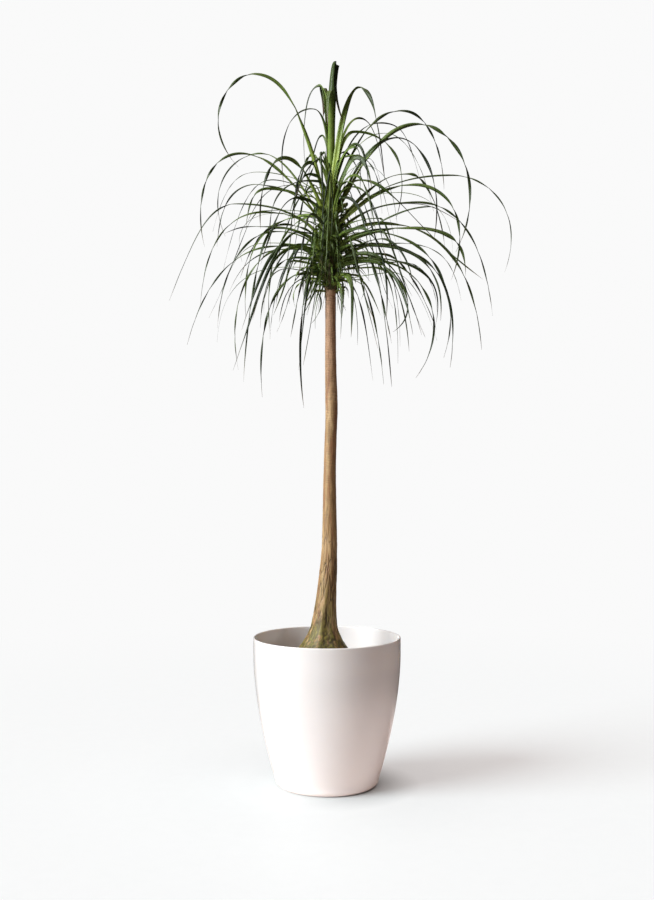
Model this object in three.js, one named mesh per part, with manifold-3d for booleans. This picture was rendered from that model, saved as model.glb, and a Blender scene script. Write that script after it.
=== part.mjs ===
// A ponytail palm in a glossy tapered pot, in millimetres, +Z up and -Y towards the viewer.
// The origin is the centre of the pot's underside, on the floor.
import * as THREE from 'three';
import { mergeVertices } from 'three/addons/utils/BufferGeometryUtils.js';
import Module from 'manifold-3d';

// Pot
const POT_HEIGHT = 350;
const POT_RIM_RADIUS = 175;
const POT_FOOT_RADIUS = 118;
const POT_WALL = 4;
const POT_FLOOR = 7;
const POT_FOOT_ROUND = 15;
const POT_STRAIGHT_FROM = 310;
const POT_TAPER_POWER = 1.75;
const POT_SIDES = 40;

// Soil and stem
const GAP = 0.3;
const SOIL_LEVEL = 285;
const SOIL_WAVE = 2.5;
const STEM_TOP = 1158;
const STEM_SIDES = 28;
const STEM_FOOT_X = -9;
const STEM_WAIST_X = 6.3;
const STEM_TOP_X = 8.5;
const STEM_LEAN_FROM = 285;
const STEM_LEAN_TO = 605;
const STEM_UPPER_FROM = 700;
const STEM_UPPER_TO = 880;
const STEM_BOW = 2.2;
const STEM_BOW_AT = 895;
const STEM_BOW_SPAN = 75;
const FURROW_DEPTH = 0.07;
const FURROWS_FROM = 292;
const FURROWS_TO = 640;

// Leaf head
const CORE_TOP = 1405;
const CORE_SIDES = 10;
const LONG_LEAF_RINGS = 11;
const FILL_LEAF_RINGS = 9;
const LEAF_THICKNESS = 1.2;
const LINE_STEPS = 30;
const CLIMB_SHARE = 0.45;
const OVER_SHARE = 0.6;
const HANG_SHARE = 0.55;
const LEAF_KEEL = 0.12;
const LEAF_TIP_WIDTH = 1.6;
const BEND_WEIGHT = 110;
const BASE_TURN = 0.08;
const TWIST_POWER = 1.8;
const BASE_FLARE = 0.32;
const GOLDEN_SHARE = 0.618034;
const FILL_LEAVES = 38;
const FILL_SPREAD = 54;
const FILL_ROOT_FROM = 1174;
const FILL_ROOT_TO = 1354;
const FILL_RISE_FROM = 32;
const FILL_RISE_GAIN = 178;
const FILL_CREST_REACH = 45;
const FILL_CREST_SWELL = 90;
const FILL_TIP_REACH = 45;
const FILL_TIP_SWELL = 120;
const FILL_DROP = 120;
const FILL_DROP_SWELL = 170;
const FILL_LEAST_DROP = 40;
const TRUNK_CLEARANCE = 70;
const SEED = 7;

const wasm = await Module();
wasm.setup();

// Each row is one long leaf: azimuth in degrees (0 is +X, 270 faces the viewer), height of the root,
// reach and height of the crest, how far its bow reaches back (0 to 1), reach and height of the tip,
// slope at the tip in degrees, width, twist in degrees, and, on some, how far its base is rolled over.
const LONG_LEAVES = [
  [190, 1310, 185, 1682, 0.6, 221, 1460, -135, 12, 400, -50],
  [150, 1355, 32, 1671, 0.9, 72, 1484, -96, 11, 150],
  [205, 1380, 48, 1603, 0.9, 120, 1410, -100, 7.5, 200, 20],
  [185, 1300, 210, 1498, 0.4, 300, 1273, -105, 10, 400, 70],
  [205, 1306, 116, 1480, 0.55, 180, 1308, -95, 14, 300, 40],
  [215, 1345, 62, 1472, 0.45, 104, 1316, -90, 13, 280, 50],
  [160, 1300, 190, 1517, 0.4, 277, 1320, -115, 6.5, 330],
  [195, 1297, 185, 1418, 0.6, 275, 1266, -85, 7.5, -260],
  [190, 1280, 145, 1413, 0.8, 203, 1307, -92, 10, 260, 60],
  [182, 1245, 220, 1381, 0.7, 385, 1147, -70, 6.5, 260],
  [188, 1262, 158, 1358, 0.7, 310, 1136, -85, 7.5, 330],
  [178, 1250, 160, 1328, 0.65, 255, 1312, -25, 8, 150, 60],
  [195, 1230, 130, 1310, 0.7, 274, 1077, -85, 8.5, 350],
  [188, 1245, 85, 1270, 0.7, 242, 1166, -68, 5, 150],
  [215, 1245, 85, 1268, 0.75, 219, 1090, -75, 12, 140],
  [200, 1215, 115, 1276, 0.5, 221, 1072, -70, 13.5, 150],
  [192, 1228, 130, 1318, 0.75, 210, 953, -87, 9.5, 320],
  [205, 1200, 68, 1212, 0.67, 176, 915, -95, 10, -330],
  [200, 1195, 70, 1270, 0.67, 112, 1189, -77, 9.5, 120],
  [180, 1220, 85, 1284, 0.6, 221, 984, -100, 8, -350],
  [210, 1188, 55, 1200, 0.67, 139, 1091, -80, 10.5, 60],
  [192, 1215, 72, 1251, 0.67, 170, 1081, -90, 8, 280],
  [215, 1200, 100, 1236, 0.67, 162, 1105, -65, 9.5, 100],
  [215, 1290, 45, 1430, 0.67, 170, 1263, -95, 9, 200],
  [240, 1189, 56, 1213, 0.7, 127, 986, -70, 13, -60, 90],
  [178, 1220, 120, 1282, 0.8, 345, 1045, -75, 7.5, 330],
  [215, 1185, 50, 1190, 0.67, 85, 1080, -85, 6.5, 60],
  [215, 1205, 30, 1228, 0.75, 77, 891, -100, 11, 200, 60],
  [5, 1292, 295, 1456, 0.65, 424, 1223, -110, 6.5, 420],
  [-5, 1327, 205, 1567, 0.5, 298, 1261, -117, 14, 430, 50],
  [20, 1352, 193, 1621, 0.6, 300, 1438, -88, 11, 400],
  [-20, 1318, 160, 1525, 0.5, 255, 1279, -100, 12, 240, 20],
  [-10, 1308, 195, 1421, 0.45, 288, 1192, -112, 12, 300, 40],
  [5, 1290, 188, 1458, 0.5, 277, 1281, -83, 11, 320],
  [-5, 1267, 175, 1321, 0.6, 321, 1204, -92, 16, 260, 60],
  [10, 1265, 135, 1340, 0.6, 376, 1037, -86, 11, 300],
  [-15, 1340, 70, 1432, 0.5, 365, 1187, -38, 12, 200],
  [-30, 1378, 76, 1650, 0.5, 146, 1423, -83, 18, 210, 70],
  [40, 1380, 185, 1606, 0.6, 300, 1480, -70, 6, 300],
  [-10, 1362, 60, 1552, 0.5, 157, 1339, -108, 11, 250],
  [-50, 1335, 79, 1509, 0.5, 147, 1315, -86, 10, -180],
  [-50, 1330, 84, 1502, 0.6, 106, 1379, -92, 10, 120, 40],
  [10, 1230, 125, 1290, 0.4, 280, 1017, -108, 10, 330],
  [-8, 1235, 100, 1312, 0.7, 285, 986, -98, 11, 340],
  [-15, 1235, 95, 1242, 0.7, 207, 961, -128, 9.5, 300],
  [-15, 1240, 75, 1278, 0.7, 266, 1094, -95, 10, -200],
  [5, 1237, 85, 1260, 0.7, 190, 1029, -86, 8.5, 200],
  [0, 1210, 70, 1252, 0.75, 250, 1085, -103, 11, 160],
  [15, 1252, 115, 1288, 0.6, 281, 1130, -90, 8, 220],
  [-20, 1205, 125, 1290, 0.6, 207, 1170, -81, 9.5, 130],
  [-60, 1199, 62, 1204, 0.7, 95, 1054, -100, 12.5, 60],
  [-30, 1190, 90, 1256, 0.7, 241, 1056, -72, 12, 120, 50],
  [-45, 1215, 84, 1234, 0.7, 260, 1050, -80, 13, 200, 70],
  [-55, 1196, 48, 1202, 0.6, 108, 1035, -95, 9, 140],
  [-75, 1182, 42, 1188, 0.6, 88, 1050, -105, 8, 90],
  [-20, 1190, 62, 1196, 0.6, 125, 1110, -70, 8, 100],
  [-10, 1215, 95, 1225, 0.7, 150, 1072, -150, 8, 200],
  [0, 1287, 198, 1385, 0.6, 388, 1113, -85, 8.5, 430],
  [5, 1275, 190, 1385, 0.6, 318, 1340, -35, 7, 60],
  [-12, 1262, 235, 1364, 0.3, 262, 1356, -25, 6.5, 150],
  [-50, 1340, 15, 1712, 0.97, 50, 1560, -62, 25, 40, -50],
  [115, 1354, 33, 1668, 0.5, 41, 1600, -88, 24, 15],
  [266, 1318, 56, 1634, 0.9, 92, 1540, -80, 22, 15],
  [-38, 1325, 78, 1482, 0.4, 122, 1400, -80, 20, 30, 70],
  [-35, 1335, 45, 1390, 0.5, 108, 1262, -80, 11.5, 40, 50],
  [30, 1360, 82, 1598, 0.65, 154, 1455, -84, 8, 200],
];

function ease(from, to, value) {
  const u = Math.min(1, Math.max(0, (value - from) / (to - from)));
  return u * u * (3 - 2 * u);
}

// A linear congruential generator, so that the crown is the same on every run.
function seededDraw(seed) {
  let state = seed;
  return (low, high) => {
    state = (state * 1664525 + 1013904223) % 4294967296;
    return low + ((high - low) * state) / 4294967296;
  };
}

// A closed triangle mesh with its shared vertices merged and its flat triangles left out.
function weld(geometry) {
  const bare = geometry.clone();
  bare.deleteAttribute('normal');
  bare.deleteAttribute('uv');
  const merged = mergeVertices(bare, 1e-3);
  const corners = merged.index.array;
  const kept = [];
  for (let i = 0; i < corners.length; i += 3) {
    const [a, b, c] = [corners[i], corners[i + 1], corners[i + 2]];
    if (a !== b && b !== c && c !== a) kept.push(a, b, c);
  }
  merged.setIndex(kept);
  return merged;
}

function toSolid(geometry) {
  const welded = weld(geometry);
  return new wasm.Manifold(
    new wasm.Mesh({
      numProp: 3,
      vertProperties: new Float32Array(welded.attributes.position.array),
      triVerts: new Uint32Array(welded.index.array),
    }),
  );
}

// The outer skin alone: pockets that crossing leaves close off are filled.
function withoutHollows(solid) {
  return solid.decompose().reduce((largest, body) => (body.volume() > largest.volume() ? body : largest));
}

function toGeometry(solid) {
  const mesh = solid.getMesh();
  const geometry = new THREE.BufferGeometry();
  geometry.setAttribute('position', new THREE.BufferAttribute(mesh.vertProperties, 3));
  geometry.setIndex(new THREE.BufferAttribute(mesh.triVerts, 1));
  geometry.computeVertexNormals();
  return geometry;
}

// Turns a profile of (radius, height) points about the Z axis.
function turned(profile, sides) {
  return new THREE.LatheGeometry(profile, sides).rotateX(Math.PI / 2);
}

function moveVertices(geometry, move) {
  const points = geometry.attributes.position;
  const point = new THREE.Vector3();
  for (let i = 0; i < points.count; i++) {
    move(point.fromBufferAttribute(points, i));
    points.setXYZ(i, point.x, point.y, point.z);
  }
  return geometry;
}

function arc(radius, height, size, fromDegrees, toDegrees, steps) {
  const points = [];
  for (let i = 0; i <= steps; i++) {
    const angle = THREE.MathUtils.degToRad(fromDegrees + ((toDegrees - fromDegrees) * i) / steps);
    points.push(new THREE.Vector2(radius + size * Math.cos(angle), height + size * Math.sin(angle)));
  }
  return points;
}

// Outer radius of the pot: straight at the rim and drawn in ever faster towards the foot.
function potRadius(height) {
  const below = Math.max(0, POT_STRAIGHT_FROM - height) / POT_STRAIGHT_FROM;
  return POT_RIM_RADIUS - (POT_RIM_RADIUS - POT_FOOT_RADIUS) * below ** POT_TAPER_POWER;
}

function potProfile() {
  const lip = POT_WALL / 2;
  const steps = 9;
  const sideFrom = POT_FOOT_ROUND * 1.1;
  const sideTo = POT_HEIGHT - lip;
  const outside = [];
  const inside = [];
  for (let i = 0; i <= steps; i++) {
    const up = sideFrom + ((sideTo - sideFrom) * i) / steps;
    outside.push(new THREE.Vector2(potRadius(up), up));
    if (up > POT_FLOOR) inside.unshift(new THREE.Vector2(potRadius(up) - POT_WALL, up));
  }
  const foot = arc(potRadius(sideFrom) - POT_FOOT_ROUND, POT_FOOT_ROUND, POT_FOOT_ROUND, -90, -12, 4);
  return [
    new THREE.Vector2(0, 0),
    ...foot,
    ...outside,
    ...arc(POT_RIM_RADIUS - lip, sideTo, lip, 30, 150, 2),
    ...inside,
    new THREE.Vector2(potRadius(sideFrom) - POT_WALL - POT_FOOT_ROUND / 2, POT_FLOOR),
    new THREE.Vector2(0, POT_FLOOR),
  ];
}

// Half outline of the stem: a rounded swollen foot in the soil, then a slender trunk.
function stemRadiusCurve() {
  const outline = [
    [30, 218],
    [62, 236],
    [80, 260],
    [86, 284],
    [72, 305],
    [57, 325],
    [45.5, 342],
    [34.5, 365],
    [29.3, 389],
    [24, 440],
    [19.6, 532],
    [16.9, 627],
    [14.8, 742],
    [14.2, 840],
    [14.7, 905],
    [13.7, 975],
    [12.9, 1056],
    [12.6, STEM_TOP],
  ];
  return new THREE.SplineCurve(outline.map(([radius, height]) => new THREE.Vector2(radius, height)));
}

function stemProfile(clearance) {
  const side = stemRadiusCurve().getPoints(28);
  const widened = side.map((p) => new THREE.Vector2(p.x + clearance, p.y));
  const bottom = side[0].y - 4 - clearance;
  return [new THREE.Vector2(0, bottom), ...widened, new THREE.Vector2(0, STEM_TOP)];
}

// The stem leans out from its foot, then bows a little at two thirds of its height.
function stemCentre(height) {
  const lean = (STEM_WAIST_X - STEM_FOOT_X) * ease(STEM_LEAN_FROM, STEM_LEAN_TO, height);
  const upper = (STEM_TOP_X - STEM_WAIST_X) * ease(STEM_UPPER_FROM, STEM_UPPER_TO, height);
  const bow = STEM_BOW * Math.exp(-(((height - STEM_BOW_AT) / STEM_BOW_SPAN) ** 2));
  return STEM_FOOT_X + lean + upper + bow;
}

// Furrows run up the swollen foot and fade out where the trunk turns slender.
function furrow(angle, height) {
  const depth = FURROW_DEPTH * ease(FURROWS_FROM, FURROWS_FROM + 20, height)
    * (1 - ease(FURROWS_FROM + 90, FURROWS_TO, height));
  const waves = 0.5 * Math.sin(5 * angle + 1.1 + height / 90)
    + 0.3 * Math.sin(8 * angle + 2.3 - height / 70)
    + 0.3 * Math.sin(3 * angle + 0.4);
  return depth * waves;
}

function stemGeometry(clearance) {
  return moveVertices(turned(stemProfile(clearance), STEM_SIDES), (p) => {
    const swell = 1 + furrow(Math.atan2(p.y, p.x), p.z);
    p.x = p.x * swell + stemCentre(p.z);
    p.y *= swell;
  });
}

function soilGeometry() {
  const bottom = POT_FLOOR + GAP;
  const steps = 6;
  const profile = [new THREE.Vector2(0, bottom)];
  profile.push(new THREE.Vector2(potRadius(bottom) - POT_WALL - POT_FOOT_ROUND, bottom));
  for (let i = 1; i <= steps; i++) {
    const up = bottom + ((SOIL_LEVEL - bottom) * i) / steps;
    profile.push(new THREE.Vector2(potRadius(up) - POT_WALL - 2 * GAP, up));
  }
  const edge = profile[profile.length - 1].x;
  for (const share of [0.92, 0.84, 0.76, 0.68, 0.6, 0.3, 0]) {
    profile.push(new THREE.Vector2(edge * share, SOIL_LEVEL));
  }
  const heap = moveVertices(turned(profile, POT_SIDES), (p) => {
    if (p.z < SOIL_LEVEL - 1) return;
    p.z += SOIL_WAVE * Math.sin(p.x / 17 + 0.6) * Math.cos(p.y / 21 - 0.4);
  });
  return toGeometry(toSolid(heap).subtract(toSolid(stemGeometry(GAP))));
}

function bezier(points, steps) {
  return new THREE.CubicBezierCurve(...points).getPoints(steps);
}

// The leaf's line in its own upright plane, as (reach, height): it climbs to the crest and hangs from it.
function leafLine([, root, crestReach, crestHeight, bow, tipReach, tipHeight, tipSlope]) {
  const start = new THREE.Vector2(0, root);
  const crest = new THREE.Vector2(crestReach, crestHeight);
  const tip = new THREE.Vector2(tipReach, tipHeight);
  const rising = new THREE.Vector2(crestReach * (1 - bow), crestHeight);
  const slope = THREE.MathUtils.degToRad(tipSlope);
  const hang = HANG_SHARE * crest.distanceTo(tip);
  const falling = new THREE.Vector2(tipReach - hang * Math.cos(slope), tipHeight - hang * Math.sin(slope));
  const over = new THREE.Vector2(crestReach + OVER_SHARE * (falling.x - crestReach), crestHeight);
  const climb = bezier([start, start.clone().lerp(rising, CLIMB_SHARE), rising, crest], LINE_STEPS);
  const fall = bezier([crest, over, falling, tip], LINE_STEPS);
  return [...climb.slice(0, -1), ...fall];
}

// How much of its whole twist a leaf has made: a little near the base, then faster towards the tip.
function twistShare(share) {
  return BASE_TURN * ease(0, 0.15, share) + (1 - BASE_TURN) * share ** TWIST_POWER;
}

// The blade is widest at its base, even past the middle, and narrows to its point at the end.
function widthShare(share) {
  return (1 - BASE_FLARE * ease(0, 0.5, share)) * (1 - share ** 4) ** 0.8;
}

// Shares of the line's points at which rings stand: even along it, and closer where it bends.
function ringPlaces(line, rings) {
  const travelled = [0];
  let heading = null;
  for (let i = 1; i < line.length; i++) {
    const step = line[i].clone().sub(line[i - 1]);
    const next = Math.atan2(step.y, step.x);
    const veer = heading === null ? 0 : next - heading;
    const turn = Math.abs(Math.atan2(Math.sin(veer), Math.cos(veer)));
    heading = next;
    travelled.push(travelled[i - 1] + step.length() + BEND_WEIGHT * turn);
  }
  const total = travelled[travelled.length - 1];
  const places = [];
  for (let ring = 0; ring < rings; ring++) {
    const goal = (total * ring) / (rings - 1);
    let i = 1;
    while (i < travelled.length - 1 && travelled[i] < goal) i++;
    places.push(i - 1 + (goal - travelled[i - 1]) / (travelled[i] - travelled[i - 1]));
  }
  return places;
}

function pointAt(line, place) {
  const i = Math.min(Math.floor(place), line.length - 2);
  return line[i].clone().lerp(line[i + 1], place - i);
}

// A strap of three-sided section: flat on the face, with a low keel along the back.
// Each of its sides is split along the diagonal that stands out when the leaf twists.
function leafGeometry(leaf, rings) {
  const [azimuth, , , , , , , , width, twist, roll = 0, sway = 0] = leaf;
  const line = leafLine(leaf);
  const places = ringPlaces(line, rings);
  const turnAbout = THREE.MathUtils.degToRad(azimuth);
  const outward = new THREE.Vector3(Math.cos(turnAbout), Math.sin(turnAbout), 0);
  const sideways = new THREE.Vector3(-Math.sin(turnAbout), Math.cos(turnAbout), 0);
  const up = new THREE.Vector3(0, 0, 1);
  const centres = places.map((place) => {
    const flat = pointAt(line, place);
    const share = place / (line.length - 1);
    return new THREE.Vector3(STEM_TOP_X, 0, 0)
      .addScaledVector(outward, flat.x)
      .addScaledVector(up, flat.y)
      .addScaledVector(sideways, sway * share * share);
  });
  const vertices = [];
  centres.forEach((centre, ring) => {
    const share = ring / (rings - 1);
    const before = centres[Math.max(0, ring - 1)];
    const after = centres[Math.min(rings - 1, ring + 1)];
    const along = after.clone().sub(before).normalize();
    const across = sideways.clone().addScaledVector(along, -sideways.dot(along)).normalize();
    across.applyAxisAngle(along, THREE.MathUtils.degToRad(roll + twist * twistShare(share)));
    const back = across.clone().cross(along).normalize();
    const breadth = Math.max(LEAF_TIP_WIDTH, width * widthShare(share));
    const keel = Math.max(LEAF_THICKNESS, LEAF_KEEL * breadth);
    vertices.push(centre.clone().addScaledVector(across, -breadth / 2));
    vertices.push(centre.clone().addScaledVector(across, breadth / 2));
    vertices.push(centre.clone().addScaledVector(back, keel));
  });
  const faces = [0, 1, 2];
  for (let ring = 0; ring < rings - 1; ring++) {
    for (let side = 0; side < 3; side++) {
      const a = ring * 3 + side;
      const b = ring * 3 + ((side + 1) % 3);
      if (twist > 0) faces.push(a, b + 3, b, a, a + 3, b + 3);
      else faces.push(a, a + 3, b, b, a + 3, b + 3);
    }
  }
  const last = (rings - 1) * 3;
  faces.push(last, last + 2, last + 1);
  return new THREE.BufferGeometry().setFromPoints(vertices).setIndex(faces);
}

// The leaves between the long ones, by turns in front of the stem and behind it, from the lowest to the
// highest. The ones that would hang straight before or behind the trunk stay above its top.
function fillLeaves() {
  const draw = seededDraw(SEED);
  const leaves = [];
  for (let i = 0; i < FILL_LEAVES; i++) {
    const level = (i + 0.5) / FILL_LEAVES;
    const turn = (i * GOLDEN_SHARE) % 1;
    const azimuth = (i % 2 ? 90 : 270) + FILL_SPREAD * (2 * turn - 1) + draw(-8, 8);
    const root = FILL_ROOT_FROM + (FILL_ROOT_TO - FILL_ROOT_FROM) * level;
    const rise = (FILL_RISE_FROM + FILL_RISE_GAIN * level ** 1.3) * draw(0.4, 1.4);
    const crestSwell = Math.sin(Math.PI * Math.min(1, level * 1.1));
    const crestReach = (FILL_CREST_REACH + FILL_CREST_SWELL * crestSwell) * draw(0.5, 1.4);
    const bow = draw(0.55, 0.95);
    const tipSwell = Math.sin(Math.PI * (0.1 + 0.8 * level));
    const tipReach = crestReach + (FILL_TIP_REACH + FILL_TIP_SWELL * tipSwell) * draw(0.4, 1.5);
    const dropSwell = Math.sin(Math.PI * (0.15 + 0.8 * level));
    const drop = (FILL_DROP + FILL_DROP_SWELL * dropSwell) * draw(0.5, 1.3);
    const nearTrunk = Math.abs(tipReach * Math.cos(THREE.MathUtils.degToRad(azimuth))) < TRUNK_CLEARANCE;
    const crest = root + rise;
    const least = Math.min(crest - FILL_LEAST_DROP, STEM_TOP);
    const tip = nearTrunk ? Math.max(crest - drop, least) : crest - drop;
    const slope = draw(-98, -55);
    const width = draw(7, 13);
    const twist = draw(120, 460) * (draw(0, 1) < 0.5 ? -1 : 1);
    const roll = draw(-40, 40);
    const sway = draw(-50, 50);
    leaves.push([azimuth, root, crestReach, crest, bow, tipReach, tip, slope, width, twist, roll, sway]);
  }
  return leaves;
}

// The green top of the stem that the leaves grow from.
function coreGeometry() {
  const profile = [
    [0, STEM_TOP + GAP],
    [12.4, STEM_TOP + GAP],
    [13, 1176],
    [18, 1192],
    [18, 1240],
    [14, 1300],
    [9, 1380],
    [0, CORE_TOP],
  ];
  const core = turned(profile.map(([radius, height]) => new THREE.Vector2(radius, height)), CORE_SIDES);
  return core.translate(STEM_TOP_X, 0, 0);
}

function crownGeometry() {
  let crown = toSolid(coreGeometry());
  const leaves = [
    ...LONG_LEAVES.map((leaf) => leafGeometry(leaf, LONG_LEAF_RINGS)),
    ...fillLeaves().map((leaf) => leafGeometry(leaf, FILL_LEAF_RINGS)),
  ];
  for (const leaf of leaves) {
    crown = crown.add(toSolid(leaf));
  }
  return toGeometry(withoutHollows(crown));
}

function named(name, geometry, color, roughness) {
  const material = new THREE.MeshStandardMaterial({ color, roughness, metalness: 0 });
  const mesh = new THREE.Mesh(geometry, material);
  mesh.name = name;
  return mesh;
}

const palm = new THREE.Group();
palm.add(named('pot', turned(potProfile(), POT_SIDES), 0xf2efea, 0.12));
palm.add(named('soil', soilGeometry(), 0x33261b, 0.95));
palm.add(named('trunk', stemGeometry(0), 0xb39468, 0.8));
palm.add(named('leaf_crown', crownGeometry(), 0x3c5f28, 0.45));

export default palm;
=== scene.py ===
# A ponytail palm in a glossy tapered pot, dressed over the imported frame. Metres, +Z up, -Y to the viewer.
import math
from collections import namedtuple

import bpy
import numpy as np
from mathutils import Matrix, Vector, noise


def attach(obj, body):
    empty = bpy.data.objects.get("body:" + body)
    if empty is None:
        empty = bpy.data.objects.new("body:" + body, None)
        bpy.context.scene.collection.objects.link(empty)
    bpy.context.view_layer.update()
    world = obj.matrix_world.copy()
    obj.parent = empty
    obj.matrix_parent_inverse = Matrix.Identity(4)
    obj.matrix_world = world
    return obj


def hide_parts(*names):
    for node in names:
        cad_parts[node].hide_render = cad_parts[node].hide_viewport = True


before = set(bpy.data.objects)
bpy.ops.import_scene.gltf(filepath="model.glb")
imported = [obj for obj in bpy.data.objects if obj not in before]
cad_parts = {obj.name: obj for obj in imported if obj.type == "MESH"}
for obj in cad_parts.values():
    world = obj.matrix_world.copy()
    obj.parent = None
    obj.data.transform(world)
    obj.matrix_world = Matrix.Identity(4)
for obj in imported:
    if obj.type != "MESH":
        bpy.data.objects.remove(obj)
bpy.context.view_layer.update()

MM = 0.001

# Camera and light, as the photograph shows them
IMAGE_HEIGHT = 900
FOCAL_PIXELS = 1193.0
SENSOR = 36.0
EYE_HEIGHT = 0.794
EYE_DISTANCE = 2.84
BACKGROUND = 0.955
KEY_FROM = (-0.91, -0.425, 0.52)
KEY_SPREAD = math.radians(36)
KEY_STRENGTH = 4.75
KEY_COLOR = (0.93, 0.99, 1.02)
SKY_COLOR = (1.0, 0.84, 0.79)
SKY_SIDE = 0.105
SKY_TOP = 1.0
SKY_LEAN = 0.12
SKY_FRONT = 0.085
SKY_LEAST = 0.02
FLOOR_GLOW = 0.47
FLOOR_RINGS = (0.5, 1.0, 2.0, 4.0, 12.0, 60.0)
FLOOR_SIDES = 64

# Pot, in millimetres as in the part's own drawing
POT_HEIGHT = 350.0
POT_RIM_RADIUS = 175.0
POT_FOOT_RADIUS = 118.0
POT_WALL = 4.0
POT_FLOOR = 7.0
POT_FOOT_ROUND = 15.0
POT_STRAIGHT_FROM = 310.0
POT_TAPER_POWER = 1.75
POT_SIDES = 160
POT_WALL_RINGS = 44

# Soil and stem
SOIL_LEVEL = 285.0
SOIL_WAVE = 2.5
SOIL_GAP = 0.6
SOIL_SIDES = 220
SOIL_WALL_RINGS = 20
SOIL_TOP_RINGS = 84
SOIL_CRUMB_HEIGHT = 1.6
CRUMBS = 520
CRUMB_SEED = 31
CRUMB_SIZE = (1.2, 4.2)
CRUMB_EDGE = 6.0
FOOT_CLEARANCE = 88.0
CHIP_CORNERS = [(1, 0, 0), (-1, 0, 0), (0, 1, 0), (0, -1, 0), (0, 0, 1), (0, 0, -1)]
CHIP_FACES = [(0, 2, 4), (2, 1, 4), (1, 3, 4), (3, 0, 4), (2, 0, 5), (1, 2, 5), (3, 1, 5), (0, 3, 5)]
STEM_TOP = 1158.0
STEM_FOOT_X = -9.0
STEM_WAIST_X = 6.3
STEM_TOP_X = 8.5
STEM_LEAN = (285.0, 605.0)
STEM_UPPER = (700.0, 880.0)
STEM_BOW = 2.2
STEM_BOW_AT = 895.0
STEM_BOW_SPAN = 75.0
FURROW_DEPTH = 0.07
FURROWS_START = (292.0, 312.0)
FURROWS_END = (382.0, 640.0)
BARK_PLATE_WIDE = 6.0
BARK_PLATE_TALL = 52.0
CRACK_SEED = 5
CRACK_GAP = 0.26
CRACK_DEPTH = 1.7
CRACKS_END = (450.0, 790.0)
SCAR_SEED = 5
SCAR_SPACING = (3.2, 7.5)
SCAR_WIDTH = 0.95
SCAR_DEPTH = 0.45
SCARS_START = (560.0, 860.0)
LUMP_HEIGHT = 0.35
BARK_PROUD = 0.1
STEM_SIDES = 132
STEM_RINGS = 600
STEM_CURVE_STEPS = 400
STEM_OUTLINE = [
    (30, 218), (62, 236), (80, 260), (86, 284), (72, 305), (57, 325), (45.5, 342), (34.5, 365), (29.3, 389),
    (24, 440), (19.6, 532), (16.9, 627), (14.8, 742), (14.2, 840), (14.7, 905), (13.7, 975), (12.9, 1056),
    (12.6, STEM_TOP),
]

# Leaves. A pair goes from the crown's foot to its top, or holds the least and the most of a draw.
GOLDEN_ANGLE = 137.508
GOLDEN_SHARE = 0.618034
BEND_WEIGHT = 110.0
BASE_TURN = 0.08
TWIST_POWER = 1.8
TWIST_GAIN = 1.6
FULL_TWIST = 350.0
TWIST_WOBBLE = 32.0
WANDER = 4.0
BASE_FLARE = 0.32
TAPER = 5.0
LEAF_INSET = 0.994
LINE_STEPS = 30
CLIMB_SHARE = 0.45
OVER_SHARE = 0.6
HANG_SHARE = 0.55
LEAF_SHEET = 0.55
LEAF_TIP_WIDTH = 0.5
CHANNEL_AT_BASE = 34.0
CHANNEL_LOSS = 24.0
LONG_RINGS = 60
FILL_RINGS = 48
FILL_LEAVES = 38
FILL_SPREAD = 54.0
FILL_ROOT = (1174.0, 1354.0)
FILL_RISE = (32.0, 210.0)
FILL_CREST_REACH = (45.0, 135.0)
FILL_TIP_REACH = (45.0, 165.0)
FILL_DROP = (120.0, 290.0)
FILL_LEAST_DROP = 40.0
TRUNK_CLEARANCE = 70.0
FILL_SEED = 7
YOUNG_LEAVES = 18
YOUNG_SEED = 23
YOUNG_ROOT = (1170.0, 1360.0)
YOUNG_RISE = (30.0, 160.0)
YOUNG_CREST_REACH = (35.0, 125.0)
YOUNG_TIP_REACH = (40.0, 130.0)
YOUNG_DROP = (90.0, 300.0)
SHORT_LEAVES = 180
SHORT_SEED = 15
SHORT_RINGS = 26
SHORT_LOWEST = 1160.0
# Short leaves take their colour changes over only part of their length: their painted shade is lighter,
# their pale bases reach further and their tips do not wither.
SHORT_SHADE_AND_AGE = 0.5
SHORT_CREST_REACH = (14.0, 44.0)
SHORT_TWIST = (80.0, 330.0)
UPRIGHT = {"root": (1168, 1318), "rise": (30, 125), "reach": (2, 34), "drop": (15, 150), "width": (6, 13)}
DROOPING = {"root": (1168, 1263), "rise": (0, 40), "reach": (0, 58), "drop": (15, 110), "width": (4, 9)}
THREAD_LEAVES = 18
THREAD_SEED = 29
THREAD_ROOT = (1180.0, 1380.0)
THREAD_RISE = (15.0, 205.0)
THREAD_CREST_REACH = (70.0, 180.0)
THREAD_TIP_REACH = (50.0, 150.0)
THREAD_DROP = (110.0, 290.0)
THREAD_WIDTH = (2.2, 4.2)

# Stem's green top and the clasping leaf bases round it
BARK_TOP = 1180.0
CORE_OUTLINE = [(12.4, 1158.4), (12.8, 1176), (16, 1190), (16, 1240), (12.5, 1300), (8, 1380), (1, 1404)]
CORE_RINGS = 60
CORE_SIDES = 28
SHEATHS = 84
SHEATH_SEED = 41
SHEATH_FOOT = (1168.0, 1370.0)
SHEATH_HEIGHT = (34.0, 78.0)
SHEATH_WIDTH = (15.0, 22.0)
SHEATH_PEEL = (2.0, 11.0)
SHEATH_THICKNESS = 0.7
SHEATH_LEAST_REACH = 13.2
SHEATH_BROWN_FROM = 1164.0
SHEATH_BROWN_OVER = 40.0
SHEATH_COLUMNS = 7
SHEATH_ROWS = 9

# Points round a blade: place across it, -1 to 1, and how many sheets under its face.
BLADE_SECTION = [(-1, 0), (-0.5, 0), (0, 0), (0.5, 0), (1, 0), (0.5, 0.7), (0, 1.5), (-0.5, 0.7)]

Leaf = namedtuple(
    "Leaf",
    "azimuth root crest_reach crest bow tip_reach tip slope width twist roll sway",
    defaults=(0, 0),
)

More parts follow.
